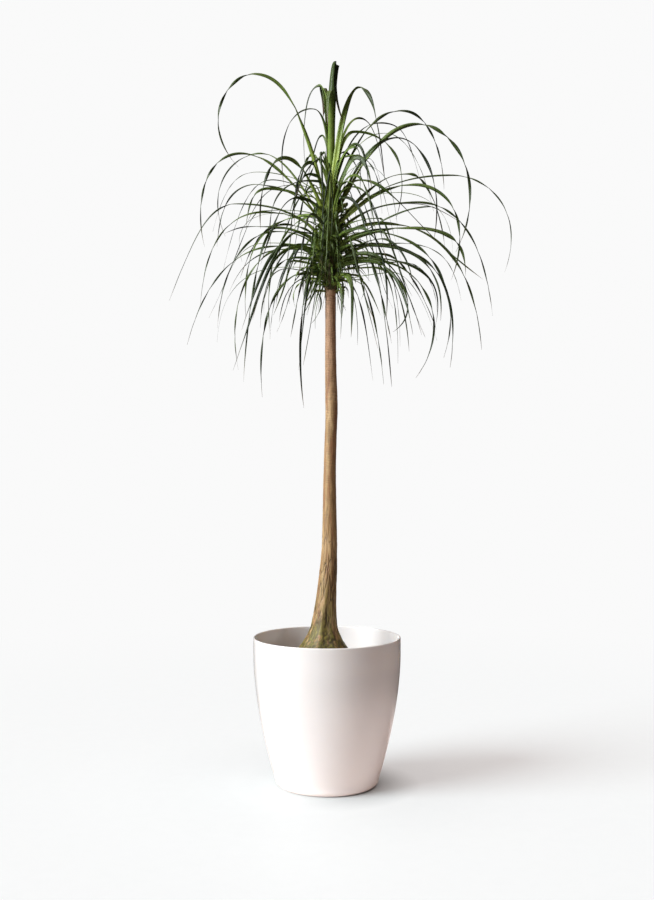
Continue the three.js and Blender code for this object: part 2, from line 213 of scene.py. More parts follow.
# Each row is one long leaf: azimuth in degrees (0 is +X, 270 faces the viewer), height of the root,
# reach and height of the crest, how far its bow reaches back (0 to 1), reach and height of the tip,
# slope at the tip in degrees, width, twist in degrees, and, on some, how far its base is rolled over.
LONG_LEAVES = [
    (190, 1310, 185, 1682, 0.6, 221, 1460, -135, 12, 400, -50),
    (150, 1355, 32, 1671, 0.9, 72, 1484, -96, 11, 150),
    (205, 1380, 48, 1603, 0.9, 120, 1410, -100, 7.5, 200, 20),
    (185, 1300, 210, 1498, 0.4, 300, 1273, -105, 10, 400, 70),
    (205, 1306, 116, 1480, 0.55, 180, 1308, -95, 14, 300, 40),
    (215, 1345, 62, 1472, 0.45, 104, 1316, -90, 13, 280, 50),
    (160, 1300, 190, 1517, 0.4, 277, 1320, -115, 6.5, 330),
    (195, 1297, 185, 1418, 0.6, 275, 1266, -85, 7.5, -260),
    (190, 1280, 145, 1413, 0.8, 203, 1307, -92, 10, 260, 60),
    (182, 1245, 220, 1381, 0.7, 385, 1147, -70, 6.5, 260),
    (188, 1262, 158, 1358, 0.7, 310, 1136, -85, 7.5, 330),
    (178, 1250, 160, 1328, 0.65, 255, 1312, -25, 8, 150, 60),
    (195, 1230, 130, 1310, 0.7, 274, 1077, -85, 8.5, 350),
    (188, 1245, 85, 1270, 0.7, 242, 1166, -68, 5, 150),
    (215, 1245, 85, 1268, 0.75, 219, 1090, -75, 12, 140),
    (200, 1215, 115, 1276, 0.5, 221, 1072, -70, 13.5, 150),
    (192, 1228, 130, 1318, 0.75, 210, 953, -87, 9.5, 320),
    (205, 1200, 68, 1212, 0.67, 176, 915, -95, 10, -330),
    (200, 1195, 70, 1270, 0.67, 112, 1189, -77, 9.5, 120),
    (180, 1220, 85, 1284, 0.6, 221, 984, -100, 8, -350),
    (210, 1188, 55, 1200, 0.67, 139, 1091, -80, 10.5, 60),
    (192, 1215, 72, 1251, 0.67, 170, 1081, -90, 8, 280),
    (215, 1200, 100, 1236, 0.67, 162, 1105, -65, 9.5, 100),
    (215, 1290, 45, 1430, 0.67, 170, 1263, -95, 9, 200),
    (240, 1189, 56, 1213, 0.7, 127, 986, -70, 13, -60, 90),
    (178, 1220, 120, 1282, 0.8, 345, 1045, -75, 7.5, 330),
    (215, 1185, 50, 1190, 0.67, 85, 1080, -85, 6.5, 60),
    (215, 1205, 30, 1228, 0.75, 77, 891, -100, 11, 200, 60),
    (5, 1292, 295, 1456, 0.65, 424, 1223, -110, 6.5, 420),
    (-5, 1327, 205, 1567, 0.5, 298, 1261, -117, 14, 430, 50),
    (20, 1352, 193, 1621, 0.6, 300, 1438, -88, 11, 400),
    (-20, 1318, 160, 1525, 0.5, 255, 1279, -100, 12, 240, 20),
    (-10, 1308, 195, 1421, 0.45, 288, 1192, -112, 12, 300, 40),
    (5, 1290, 188, 1458, 0.5, 277, 1281, -83, 11, 320),
    (-5, 1267, 175, 1321, 0.6, 321, 1204, -92, 16, 260, 60),
    (10, 1265, 135, 1340, 0.6, 376, 1037, -86, 11, 300),
    (-15, 1340, 70, 1432, 0.5, 365, 1187, -38, 12, 200),
    (-30, 1378, 76, 1650, 0.5, 146, 1423, -83, 18, 210, 70),
    (40, 1380, 185, 1606, 0.6, 300, 1480, -70, 6, 300),
    (-10, 1362, 60, 1552, 0.5, 157, 1339, -108, 11, 250),
    (-50, 1335, 79, 1509, 0.5, 147, 1315, -86, 10, -180),
    (-50, 1330, 84, 1502, 0.6, 106, 1379, -92, 10, 120, 40),
    (10, 1230, 125, 1290, 0.4, 280, 1017, -108, 10, 330),
    (-8, 1235, 100, 1312, 0.7, 285, 986, -98, 11, 340),
    (-15, 1235, 95, 1242, 0.7, 207, 961, -128, 9.5, 300),
    (-15, 1240, 75, 1278, 0.7, 266, 1094, -95, 10, -200),
    (5, 1237, 85, 1260, 0.7, 190, 1029, -86, 8.5, 200),
    (0, 1210, 70, 1252, 0.75, 250, 1085, -103, 11, 160),
    (15, 1252, 115, 1288, 0.6, 281, 1130, -90, 8, 220),
    (-20, 1205, 125, 1290, 0.6, 207, 1170, -81, 9.5, 130),
    (-60, 1199, 62, 1204, 0.7, 95, 1054, -100, 12.5, 60),
    (-30, 1190, 90, 1256, 0.7, 241, 1056, -72, 12, 120, 50),
    (-45, 1215, 84, 1234, 0.7, 260, 1050, -80, 13, 200, 70),
    (-55, 1196, 48, 1202, 0.6, 108, 1035, -95, 9, 140),
    (-75, 1182, 42, 1188, 0.6, 88, 1050, -105, 8, 90),
    (-20, 1190, 62, 1196, 0.6, 125, 1110, -70, 8, 100),
    (-10, 1215, 95, 1225, 0.7, 150, 1072, -150, 8, 200),
    (0, 1287, 198, 1385, 0.6, 388, 1113, -85, 8.5, 430),
    (5, 1275, 190, 1385, 0.6, 318, 1340, -35, 7, 60),
    (-12, 1262, 235, 1364, 0.3, 262, 1356, -25, 6.5, 150),
    (-50, 1340, 15, 1712, 0.97, 50, 1560, -62, 25, 40, -50),
    (115, 1354, 33, 1668, 0.5, 41, 1600, -88, 24, 15),
    (266, 1318, 56, 1634, 0.9, 92, 1540, -80, 22, 15),
    (-38, 1325, 78, 1482, 0.4, 122, 1400, -80, 20, 30, 70),
    (-35, 1335, 45, 1390, 0.5, 108, 1262, -80, 11.5, 40, 50),
    (30, 1360, 82, 1598, 0.65, 154, 1455, -84, 8, 200),
]

# How light some of the long leaves are, from 0 to 1, by their place in the list: partly each leaf's own
# green and partly painted light and shade.
LEAF_TONES_AND_SHADE = {
    0: 0.7, 3: 0.4, 4: 0.7, 5: 0.5, 8: 1.0, 29: 0.3, 34: 0.5, 37: 0.75, 43: 0.3, 44: 0.2, 46: 0.3,
    47: 0.2, 51: 0.3, 52: 0.2, 60: 0.05, 61: 1.0, 62: 0.9, 63: 0.35,
}

# Of LONG_LEAVES, by row, the square-topped ones and how late each narrows.
BLUNT_LEAVES = {60: 8.0, 61: 14.0}


def ease(low, high, value):
    """0 up to low and 1 from high on, with a smooth change between them."""
    u = np.clip((value - low) / (high - low), 0, 1)
    return u * u * (3 - 2 * u)


def between(span, share):
    """The value at this share of the way through a span."""
    return span[0] + (span[1] - span[0]) * share


def clamped(value):
    """The value, held between 0 and 1."""
    return max(0.0, min(1.0, value))


class SeededDraw:
    """A linear congruential generator, so that the crown is the same on every run."""

    def __init__(self, seed):
        self.state = seed

    def __call__(self, low, high):
        self.state = (self.state * 1664525 + 1013904223) % 4294967296
        return low + (high - low) * self.state / 4294967296


def add_mesh(name, vertices, faces, material, smooth=True):
    """A new piece in the scene, made of these points and faces."""
    mesh = bpy.data.meshes.new(name)
    mesh.from_pydata([tuple(v) for v in vertices], [], [tuple(f) for f in faces])
    mesh.update()
    if smooth:
        mesh.shade_smooth()
    piece = bpy.data.objects.new(name, mesh)
    bpy.context.collection.objects.link(piece)
    mesh.materials.append(material)
    return piece


def paint(piece, name, values):
    """Give each point four numbers that the material reads."""
    layer = piece.data.color_attributes.new(name, "FLOAT_COLOR", "POINT")
    layer.data.foreach_set("color", np.array(values, np.float32).ravel())


def grid_faces(rings, sides):
    """Quads between successive rings of points, wound so that rings going up face outwards."""
    faces = []
    for ring in range(rings - 1):
        for side in range(sides):
            a = ring * sides + side
            b = ring * sides + (side + 1) % sides
            faces.append((a, b, b + sides, a + sides))
    return faces


def tube_faces(rings, sides):
    """The wall through rings of points, with a flat face across each end."""
    top = (rings - 1) * sides
    return grid_faces(rings, sides) + [tuple(reversed(range(sides))), tuple(range(top, top + sides))]


def shifted(faces, start):
    """The same faces for points that begin further down the list."""
    return [tuple(start + i for i in face) for face in faces]


def new_material(name):
    """A material, a graph that adds nodes to it, and its shader."""
    material = bpy.data.materials.new(name)
    material.use_nodes = True
    tree = material.node_tree
    return material, Graph(tree), tree.nodes["Principled BSDF"]


def set_inputs(node, values):
    """Set a node's sockets, by name, to plain numbers or colours."""
    for name, value in values.items():
        node.inputs[name].default_value = value


class Graph:
    """Small helpers that add shader nodes and join them."""

    def __init__(self, tree):
        self.nodes = tree.nodes
        self.links = tree.links

    def add(self, kind, **values):
        node = self.nodes.new(kind)
        for key, value in values.items():
            setattr(node, key, value)
        return node

    def join(self, source, target):
        self.links.new(source, target)

    def feed(self, value, socket):
        """Set a socket to a number or a colour, or join another node's output to it."""
        if isinstance(value, (int, float)):
            socket.default_value = value
        elif isinstance(value, tuple):
            socket.default_value = (*value, 1)
        else:
            self.join(value, socket)

    def noise(self, vector, scale, detail=3.0, rough=0.55):
        node = self.add("ShaderNodeTexNoise")
        set_inputs(node, {"Scale": scale, "Detail": detail, "Roughness": rough})
        self.join(vector, node.inputs["Vector"])
        return node.outputs["Fac"]

    def stretch(self, vector, scale):
        node = self.add("ShaderNodeMapping")
        node.inputs["Scale"].default_value = scale
        self.join(vector, node.inputs["Vector"])
        return node.outputs["Vector"]

    def ramp(self, value, stops):
        node = self.add("ShaderNodeValToRGB")
        elements = node.color_ramp.elements
        while len(elements) < len(stops):
            elements.new(0.5)
        for element, (place, color) in zip(elements, stops):
            element.position = place
            element.color = (*color, 1)
        self.join(value, node.inputs["Fac"])
        return node.outputs["Color"]

    def mix(self, factor, first, second):
        node = self.add("ShaderNodeMix", data_type="RGBA")
        for value, place in ((factor, 0), (first, 6), (second, 7)):
            self.feed(value, node.inputs[place])
        return node.outputs[2]

    def math(self, operation, first, second, clamp=False):
        node = self.add("ShaderNodeMath", operation=operation, use_clamp=clamp)
        self.feed(first, node.inputs[0])
        self.feed(second, node.inputs[1])
        return node.outputs[0]

    def range(self, value, low, high, to_low=0.0, to_high=1.0):
        node = self.add("ShaderNodeMapRange", interpolation_type="SMOOTHSTEP")
        self.join(value, node.inputs["Value"])
        set_inputs(node, {"From Min": low, "From Max": high, "To Min": to_low, "To Max": to_high})
        return node.outputs["Result"]

    def bump(self, height, strength, distance, normal=None):
        node = self.add("ShaderNodeBump")
        set_inputs(node, {"Strength": strength, "Distance": distance})
        self.join(height, node.inputs["Height"])
        if normal is not None:
            self.join(normal, node.inputs["Normal"])
        return node.outputs["Normal"]

    def blend(self, factor, first, second):
        node = self.add("ShaderNodeMixShader")
        for source, socket in zip((factor, first, second), node.inputs):
            self.join(source, socket)
        return node.outputs[0]

    def coordinates(self, kind="Object"):
        return self.add("ShaderNodeTexCoord").outputs[kind]

    def attribute(self, name):
        node = self.add("ShaderNodeAttribute", attribute_name=name)
        split = self.add("ShaderNodeSeparateColor")
        self.join(node.outputs["Color"], split.inputs["Color"])
        return split.outputs


def pot_material():
    """Glossy white with a faint swell, like moulded and lacquered ware."""
    material, g, shader = new_material("glossy_white")
    place = g.coordinates()
    tone = g.noise(place, 7.0, 4.0)
    stops = [(0.3, (0.91, 0.86, 0.83)), (0.7, (0.93, 0.88, 0.85))]
    g.join(g.ramp(tone, stops), shader.inputs["Base Color"])
    polish = g.noise(place, 60.0, 3.0)
    g.join(g.range(polish, 0.2, 0.8, 0.10, 0.19), shader.inputs["Roughness"])
    swell = g.noise(place, 14.0, 2.0)
    peel = g.noise(place, 420.0, 2.0)
    normal = g.bump(swell, 0.12, 0.002)
    g.join(g.bump(peel, 0.05, 0.0004, normal), shader.inputs["Normal"])
    set_inputs(shader, {
        "IOR": 1.5, "Coat Weight": 0.25, "Coat Roughness": 0.05, "Subsurface Weight": 0.2,
        "Subsurface Radius": (1.0, 0.8, 0.66), "Subsurface Scale": 0.012,
    })
    return material


def soil_material():
    """Dark crumbly potting soil."""
    material, g, shader = new_material("potting_soil")
    place = g.coordinates()
    crumbs = g.noise(place, 90.0, 8.0, 0.65)
    stops = [(0.3, (0.012, 0.008, 0.005)), (0.55, (0.045, 0.028, 0.017)), (0.8, (0.12, 0.08, 0.05))]
    g.join(g.ramp(crumbs, stops), shader.inputs["Base Color"])
    fine = g.noise(place, 420.0, 6.0, 0.7)
    g.join(g.bump(fine, 0.7, 0.002), shader.inputs["Normal"])
    shader.inputs["Roughness"].default_value = 0.95
    return material


def crumb_material():
    """Chips of bark, from nearly black to a dusty tan."""
    material, g, shader = new_material("bark_crumbs")
    place = g.coordinates()
    tone = g.noise(place, 45.0, 5.0, 0.6)
    stops = [(0.3, (0.03, 0.017, 0.009)), (0.55, (0.11, 0.062, 0.032)), (0.75, (0.27, 0.19, 0.12))]
    g.join(g.ramp(tone, stops), shader.inputs["Base Color"])
    grain = g.noise(place, 600.0, 4.0)
    g.join(g.bump(grain, 0.5, 0.0008), shader.inputs["Normal"])
    shader.inputs["Roughness"].default_value = 0.9
    return material


def bark_color(g, place, blotch, bark):
    """Tan below and pink above, the pink partly the stem's own colour and partly painted light where the
    crown shades it, with reddish strips, moss near the soil, cracks darkened by painted shade, and rings.
    """
    crack, height, ring = bark["Red"], bark["Green"], bark["Blue"]
    tan = g.ramp(blotch, [
        (0.28, (0.28, 0.155, 0.062)), (0.5, (0.47, 0.29, 0.12)), (0.72, (0.74, 0.51, 0.265)),
    ])
    # Painted light: the pink ramp for the upper stem is lighter than the tan, to lift the top of the stem
    # where the crown shades it; its reddish hue is the stem's own.
    pink = g.ramp(blotch, [(0.3, (0.56, 0.285, 0.15)), (0.7, (0.82, 0.49, 0.295))])
    color = g.mix(g.range(height, 0.62, 1.0), tan, pink)
    strips = g.noise(g.stretch(place, (1, 1, 0.1)), 70.0, 4.0, 0.6)
    color = g.mix(g.range(strips, 0.5, 0.62, 0.0, 0.7), color, (0.36, 0.15, 0.065))
    tufts = g.noise(g.stretch(place, (1, 1, 0.3)), 160.0, 4.0)
    moss_tone = g.ramp(tufts, [(0.34, (0.022, 0.025, 0.003)), (0.68, (0.25, 0.225, 0.026))])
    patches = g.noise(g.stretch(place, (1, 1, 0.14)), 75.0, 4.0, 0.65)
    low = g.range(height, 0.34, 0.02)
    moss = g.math("MULTIPLY", g.range(patches, 0.37, 0.52), low, clamp=True)
    color = g.mix(moss, color, moss_tone)
    color = g.mix(g.range(height, 0.12, 0.0, 0.0, 0.3), color, (0.055, 0.045, 0.010))
    color = g.mix(g.math("MULTIPLY", ring, 0.65, clamp=True), color, (0.19, 0.105, 0.06))
    # Painted shade: the cracks are darkened to nearly black, the more the deeper they are.
    color = g.mix(g.math("MULTIPLY", crack, 0.9, clamp=True), color, (0.045, 0.026, 0.014))
    flecks = g.noise(g.stretch(place, (1, 1, 0.5)), 420.0, 4.0, 0.7)
    return g.mix(g.range(flecks, 0.58, 0.74, 0.0, 0.45), color, (0.16, 0.10, 0.055))


def bark_material():
    """Fibrous bark, a little furry where it is bare of moss."""
    material, g, shader = new_material("palm_bark")
    place = g.coordinates()
    bark = g.attribute("bark")
    blotch = g.noise(g.stretch(place, (1, 1, 0.22)), 62.0, 5.0, 0.6)
    g.join(bark_color(g, place, blotch, bark), shader.inputs["Base Color"])
    fibre = g.noise(g.stretch(place, (1, 1, 0.12)), 520.0, 5.0, 0.65)
    grain = g.noise(place, 900.0, 3.0)
    normal = g.bump(fibre, 0.45, 0.0008)
    g.join(g.bump(grain, 0.25, 0.0003, normal), shader.inputs["Normal"])
    g.join(g.range(blotch, 0.2, 0.8, 0.5, 0.66), shader.inputs["Roughness"])
    shader.inputs["Specular IOR Level"].default_value = 0.6
    g.join(g.range(bark["Green"], 0.05, 0.4, 0.0, 0.5), shader.inputs["Sheen Weight"])
    shader.inputs["Sheen Roughness"].default_value = 0.35
    return material


def leaf_material():
    """Green blades with fine lengthwise veins, paler at the base (partly their own colour, partly a painted
    highlight), with painted shade over their outer halves, brown and withered at the tips.
    """
    material, g, shader = new_material("palm_leaf")
    tone = g.attribute("leaf_tone")
    share, own, dry_and_shade = tone["Red"], tone["Green"], tone["Blue"]
    across = g.coordinates("UV")
    place = g.coordinates()
    veins = g.noise(g.stretch(across, (9.0, 0.3, 1)), 4.0, 3.0, 0.6)
    mottle = g.noise(place, 38.0, 4.0, 0.6)
    dark = g.ramp(mottle, [(0.3, (0.020, 0.040, 0.008)), (0.7, (0.050, 0.090, 0.016))])
    light = g.ramp(mottle, [(0.3, (0.15, 0.26, 0.034)), (0.7, (0.30, 0.42, 0.075))])
    color = g.mix(own, dark, light)
    color = g.mix(g.range(veins, 0.42, 0.66, 0.0, 0.35), color, (0.23, 0.29, 0.085))
    # Painted shade: the outer half of each blade darkens towards near-black green, more on some leaves than
    # on others.
    darkened = g.math("ADD", 0.58, g.math("MULTIPLY", dry_and_shade, 0.4))
    outer = g.math("MULTIPLY", g.range(share, 0.25, 0.75), darkened)
    color = g.mix(outer, color, (0.010, 0.019, 0.007))
    # Paler yellow-green towards the base, lighter on lighter leaves: partly the leaves' own colour and
    # partly a painted highlight.
    base = g.math("MULTIPLY", g.range(share, 0.26, 0.0), g.math("ADD", 0.45, own), clamp=True)
    color = g.mix(base, color, (0.46, 0.56, 0.10))
    edge = g.range(share, 0.86, 1.02)
    withered = g.math("MULTIPLY", g.math("ADD", edge, g.math("MULTIPLY", dry_and_shade, 0.45)), edge, clamp=True)
    color = g.mix(withered, color, (0.15, 0.10, 0.05))
    g.join(color, shader.inputs["Base Color"])
    g.join(g.range(veins, 0.3, 0.7, 0.34, 0.5), shader.inputs["Roughness"])
    g.join(g.bump(veins, 0.35, 0.0006), shader.inputs["Normal"])
    shader.inputs["Specular IOR Level"].default_value = 0.35
    return material


def sheath_material():
    """Clasping leaf bases: yellow-green in the middle, brown and withered along their edges."""
    material, g, shader = new_material("leaf_bases")
    tone = g.attribute("leaf_tone")
    edge, own, low = tone["Red"], tone["Green"], tone["Blue"]
    place = g.coordinates()
    mottle = g.noise(g.stretch(place, (1, 1, 0.3)), 160.0, 5.0, 0.6)
    green = g.ramp(mottle, [(0.3, (0.055, 0.10, 0.016)), (0.7, (0.22, 0.30, 0.06))])
    brown = g.ramp(mottle, [(0.3, (0.030, 0.014, 0.007)), (0.7, (0.16, 0.085, 0.04))])
    color = g.mix(g.range(edge, 0.75, 1.0, 0.0, 0.7), green, brown)
    color = g.mix(g.math("MULTIPLY", low, g.range(own, 0.2, 0.8), clamp=True), color, brown)
    g.join(color, shader.inputs["Base Color"])
    g.join(g.bump(mottle, 0.5, 0.0008), shader.inputs["Normal"])
    g.join(g.range(mottle, 0.2, 0.8, 0.55, 0.8), shader.inputs["Roughness"])
    return material


def pot_radius(height):
    """The outer radius: full at the rim, drawing in faster and faster towards the foot."""
    below = np.maximum(0, POT_STRAIGHT_FROM - height) / POT_STRAIGHT_FROM
    return POT_RIM_RADIUS - (POT_RIM_RADIUS - POT_FOOT_RADIUS) * below**POT_TAPER_POWER


def arc(radius, height, size, start, end, steps):
    """Points on a round of this size about (radius, height), from one angle in degrees to another."""
    angles = np.radians(np.linspace(start, end, steps + 1))
    return [(radius + size * math.cos(a), height + size * math.sin(a)) for a in angles]


def turned(name, profile, sides, material):
    """A solid of revolution from (radius, height) points that start and end on the axis."""
    angles = np.linspace(0, 2 * math.pi, sides, endpoint=False)
    inner = profile[1:-1]
    vertices = [(r * math.cos(a) * MM, r * math.sin(a) * MM, z * MM) for r, z in inner for a in angles]
    faces = grid_faces(len(inner), sides)
    low = len(vertices)
    vertices += [(0, 0, profile[0][1] * MM), (0, 0, profile[-1][1] * MM)]
    top = (len(inner) - 1) * sides
    for side in range(sides):
        after = (side + 1) % sides
        faces.append((low, after, side))
        faces.append((low + 1, top + side, top + after))
    return add_mesh(name, vertices, faces, material)


def make_pot():
    """The pot's shell: out over the foot, up the side, over the lip and down inside."""
    side_from = POT_FOOT_ROUND * 1.1
    lip = POT_WALL / 2
    side_to = POT_HEIGHT - lip
    ups = np.linspace(side_from, side_to, POT_WALL_RINGS)
    foot_radius = float(pot_radius(side_from))
    profile = [(0, 0), (40, 0), (80, 0)]
    profile += arc(foot_radius - POT_FOOT_ROUND, POT_FOOT_ROUND, POT_FOOT_ROUND, -90, -12, 10)
    profile += [(float(pot_radius(z)), z) for z in ups]
    profile += arc(POT_RIM_RADIUS - lip, side_to, lip, 15, 165, 9)
    profile += [(float(pot_radius(z)) - POT_WALL, z) for z in ups[::-1]]
    profile += [(foot_radius - POT_WALL - POT_FOOT_ROUND / 2, POT_FLOOR), (50, POT_FLOOR), (0, POT_FLOOR)]
    pot = turned("pot_shell", profile, POT_SIDES, pot_material())
    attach(pot, "root")
    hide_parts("pot")


def spline(points, steps):
    """A Catmull-Rom curve through the points, with evenly spaced parameters."""
    points = np.array(points, float)
    last = len(points) - 1
    result = []
    for t in np.linspace(0, last, steps):
        i = min(int(t), last - 1)
        f = t - i
        a, b = points[max(i - 1, 0)], points[i]
        c, d = points[i + 1], points[min(i + 2, last)]
        v0, v1 = (c - a) / 2, (d - b) / 2
        result.append((2 * b - 2 * c + v0 + v1) * f**3 + (-3 * b + 3 * c - 2 * v0 - v1) * f**2 + v0 * f + b)
    return np.array(result)


def furrow(angle, height):
    """How far the foot's furrows push its surface out or in, as a share of the radius."""
    depth = FURROW_DEPTH * ease(*FURROWS_START, height) * (1 - ease(*FURROWS_END, height))
    waves = 0.5 * np.sin(5 * angle + 1.1 + height / 90)
    waves = waves + 0.3 * np.sin(8 * angle + 2.3 - height / 70)
    return depth * (waves + 0.3 * np.sin(3 * angle + 0.4))


def stem_centre(height):
    """How far right of the pot's axis the leaning, slightly bowed stem has its middle."""
    lean = (STEM_WAIST_X - STEM_FOOT_X) * ease(*STEM_LEAN, height)
    upper = (STEM_TOP_X - STEM_WAIST_X) * ease(*STEM_UPPER, height)
    bow = STEM_BOW * np.exp(-(((height - STEM_BOW_AT) / STEM_BOW_SPAN) ** 2))
    return STEM_FOOT_X + lean + upper + bow


def bark_cracks(angle, height, radius):
    """Depth of the cracks between bark plates, 0 on a plate to 1 in a crack."""
    around = Vector((math.cos(angle), math.sin(angle), 0)) * (radius / BARK_PLATE_WIDE)
    spot = Vector((around.x, around.y, height / BARK_PLATE_TALL))
    wander = noise.noise_vector(spot * 0.9) * 0.55
    distances = noise.voronoi(spot + wander)[0]
    gap = distances[1] - distances[0]
    return 1 - min(1.0, gap / CRACK_GAP)


def leaf_scars():
    """Heights of the thin rings that old leaves have left on the stem."""
    draw = SeededDraw(SCAR_SEED)
    heights = []
    height = 0.0
    while height < STEM_TOP:
        heights.append(height)
        height += draw(*SCAR_SPACING)
    return np.array(heights)


def bark_noise(around, spread, height):
    """Noise on the stem's face: spread sets how fast it changes round the stem."""
    return noise.noise(Vector((around.x * spread, around.y * spread, height)))


def bark_point(angle, height, radius, scars, low, high):
    """Reach of the bark here, and how deep it lies in a crack and in a ring."""
    around = Vector((math.cos(angle), math.sin(angle), height / 60))
    tilt = 5.0 * noise.noise(around * 1.3)
    nearest = float(np.min(np.abs(scars - height - tilt)))
    broken = clamped(0.62 + 1.1 * bark_noise(around, 2.2, height / 14))
    ring = math.exp(-((nearest / SCAR_WIDTH) ** 2)) * broken * (0.25 + 0.75 * high)
    crack = bark_cracks(angle, height, radius) ** 1.6 * (0.22 + 0.78 * low)
    crack *= clamped(0.75 + 1.2 * bark_noise(around, 3, height / 45 + 9))
    crack *= float(ease(SOIL_LEVEL, SOIL_LEVEL + 20, height)) * (1 - 0.8 * high)
    lump = LUMP_HEIGHT * noise.fractal(Vector((around.x * 2.4, around.y * 2.4, height / 22)), 1.0, 2.0, 4)
    swell = radius * (1 + float(furrow(angle, height)))
    reach = swell + lump - SCAR_DEPTH * ring - (CRACK_DEPTH * crack * (0.4 + 0.6 * low)) + BARK_PROUD
    return reach, crack, ring


def make_trunk():
    """The stem in one piece with its swollen foot: cracked low down and ringed higher up."""
    outline = spline(STEM_OUTLINE, STEM_CURVE_STEPS)
    heights = np.linspace(STEM_OUTLINE[0][1], STEM_TOP, STEM_RINGS)
    radii = np.interp(heights, outline[:, 1], outline[:, 0])
    angles = np.linspace(0, 2 * math.pi, STEM_SIDES, endpoint=False)
    scars = leaf_scars()
    noise.seed_set(CRACK_SEED)  # settles how the cracks wander
    vertices, tones = [], []
    for z, r in zip(heights, radii):
        low = float(1 - ease(*CRACKS_END, z))
        high = float(ease(*SCARS_START, z))
        centre = stem_centre(z)
        for a in angles:
            reach, crack, ring = bark_point(a, z, r, scars, low, high)
            vertices.append(((reach * math.cos(a) + centre) * MM, reach * math.sin(a) * MM, z * MM))
            tones.append((crack, (z - SOIL_LEVEL) / (STEM_TOP - SOIL_LEVEL), ring, 1))
    trunk = add_mesh("trunk_bark", vertices, tube_faces(STEM_RINGS, STEM_SIDES), bark_material())
    paint(trunk, "bark", np.clip(tones, 0, 1))
    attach(trunk, "root")
    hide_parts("trunk")
    return trunk


def soil_wave(x, y):
    """The slow rise and fall of the soil's top."""
    return SOIL_WAVE * math.sin(x / 17 + 0.6) * math.cos(y / 21 - 0.4)


def make_soil():
    """The crumbly top of the potting soil, with a plain body under it."""
    edge = float(pot_radius(SOIL_LEVEL)) - POT_WALL - SOIL_GAP
    angles = np.linspace(0, 2 * math.pi, SOIL_SIDES, endpoint=False)
    vertices = []
    for z in np.linspace(POT_FLOOR + 1, SOIL_LEVEL, SOIL_WALL_RINGS):
        r = float(pot_radius(z)) - POT_WALL - SOIL_GAP
        vertices += [(r * math.cos(a) * MM, r * math.sin(a) * MM, z * MM) for a in angles]
    for share in np.linspace(1, 0, SOIL_TOP_RINGS)[1:-1]:
        for a in angles:
            x, y = edge * share * math.cos(a), edge * share * math.sin(a)
            crumb = SOIL_CRUMB_HEIGHT * noise.fractal(Vector((x / 9, y / 9, 0)), 0.9, 2.0, 5)
            crumb *= min(1, 12 * (1 - share))
            vertices.append((x * MM, y * MM, (SOIL_LEVEL + soil_wave(x, y) + crumb) * MM))
    faces = tube_faces(SOIL_WALL_RINGS + SOIL_TOP_RINGS - 2, SOIL_SIDES)
    soil = add_mesh("soil_surface", vertices, faces, soil_material())
    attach(soil, "root")
    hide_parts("soil")


def chip_points(draw, x, y, size):
    """The corners of one chip, stretched, turned and flattened at random."""
    turn = draw(0, math.pi)
    z = SOIL_LEVEL + soil_wave(x, y) + 0.2 * size
    points = []
    for cx, cy, cz in CHIP_CORNERS:
        px = size * cx * draw(0.8, 1.5)
        py = size * cy * draw(0.5, 0.9)
        points.append((
            (x + px * math.cos(turn) - py * math.sin(turn)) * MM,
            (y + px * math.sin(turn) + py * math.cos(turn)) * MM,
            (z + size * cz * draw(0.35, 0.6)) * MM,
        ))
    return points


def make_crumbs():
    """Bark chips and crumbs strewn over the soil, clear of the stem's foot."""
    draw = SeededDraw(CRUMB_SEED)
    edge = float(pot_radius(SOIL_LEVEL)) - POT_WALL - CRUMB_EDGE
    vertices, faces = [], []
    made = 0
    while made < CRUMBS:
        reach = edge * math.sqrt(draw(0.0, 1.0))
        a = draw(0, 2 * math.pi)
        x, y = reach * math.cos(a), reach * math.sin(a)
        size = draw(*CRUMB_SIZE)
        if math.hypot(x - STEM_FOOT_X, y) < FOOT_CLEARANCE + size:
            continue
        faces += shifted(CHIP_FACES, len(vertices))
        vertices += chip_points(draw, x, y, size)
        made += 1
    crumbs = add_mesh("soil_crumbs", vertices, faces, crumb_material(), smooth=False)
    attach(crumbs, "root")


def bezier(a, b, c, d, steps):
    """A cubic curve from a to d that leaves towards b and arrives from c."""
    t = np.linspace(0, 1, steps + 1)[:, None]
    s = 1 - t
    return s**3 * a + 3 * s**2 * t * b + 3 * s * t**2 * c + t**3 * d


def leaf_line(leaf):
    """The leaf's line in its own upright plane: it climbs to the crest and hangs from it."""
    start = np.array((0, leaf.root), float)
    crest = np.array((leaf.crest_reach, leaf.crest), float)
    tip = np.array((leaf.tip_reach, leaf.tip), float)
    rising = np.array((leaf.crest_reach * (1 - leaf.bow), leaf.crest))
    slope = math.radians(leaf.slope)
    hang = HANG_SHARE * float(np.linalg.norm(crest - tip))
    falling = tip - hang * np.array((math.cos(slope), math.sin(slope)))
    over = np.array((leaf.crest_reach + OVER_SHARE * (falling[0] - leaf.crest_reach), leaf.crest))
    climb = bezier(start, start + CLIMB_SHARE * (rising - start), rising, crest, LINE_STEPS)
    return np.vstack([climb[:-1], bezier(crest, over, falling, tip, LINE_STEPS)])


def ring_places(line, rings):
    """Where along a leaf's line its rings sit, closer together where it bends."""
    steps = np.diff(line, axis=0)
    headings = np.unwrap(np.arctan2(steps[:, 1], steps[:, 0]))
    turns = np.abs(np.diff(headings, prepend=headings[0]))
    travelled = np.concatenate([[0], np.cumsum(np.hypot(steps[:, 0], steps[:, 1]) + BEND_WEIGHT * turns)])
    goals = np.linspace(0, travelled[-1], rings)
    return np.interp(goals, travelled, np.arange(len(line)))


def twist_share(share):
    """How much of its whole twist a leaf has made: a little near the base, then faster towards the tip."""
    return BASE_TURN * ease(0, 0.15, share) + (1 - BASE_TURN) * share**TWIST_POWER


def width_share(share, taper):
    """The blade is widest at its base, even past the middle, and narrows to its point at the end."""
    return (1 - BASE_FLARE * ease(0, 0.5, share)) * (1 - share**taper) ** 0.8


def unit(v):
    """The same directions, each of length one."""
    return v / np.linalg.norm(v, axis=-1, keepdims=True)


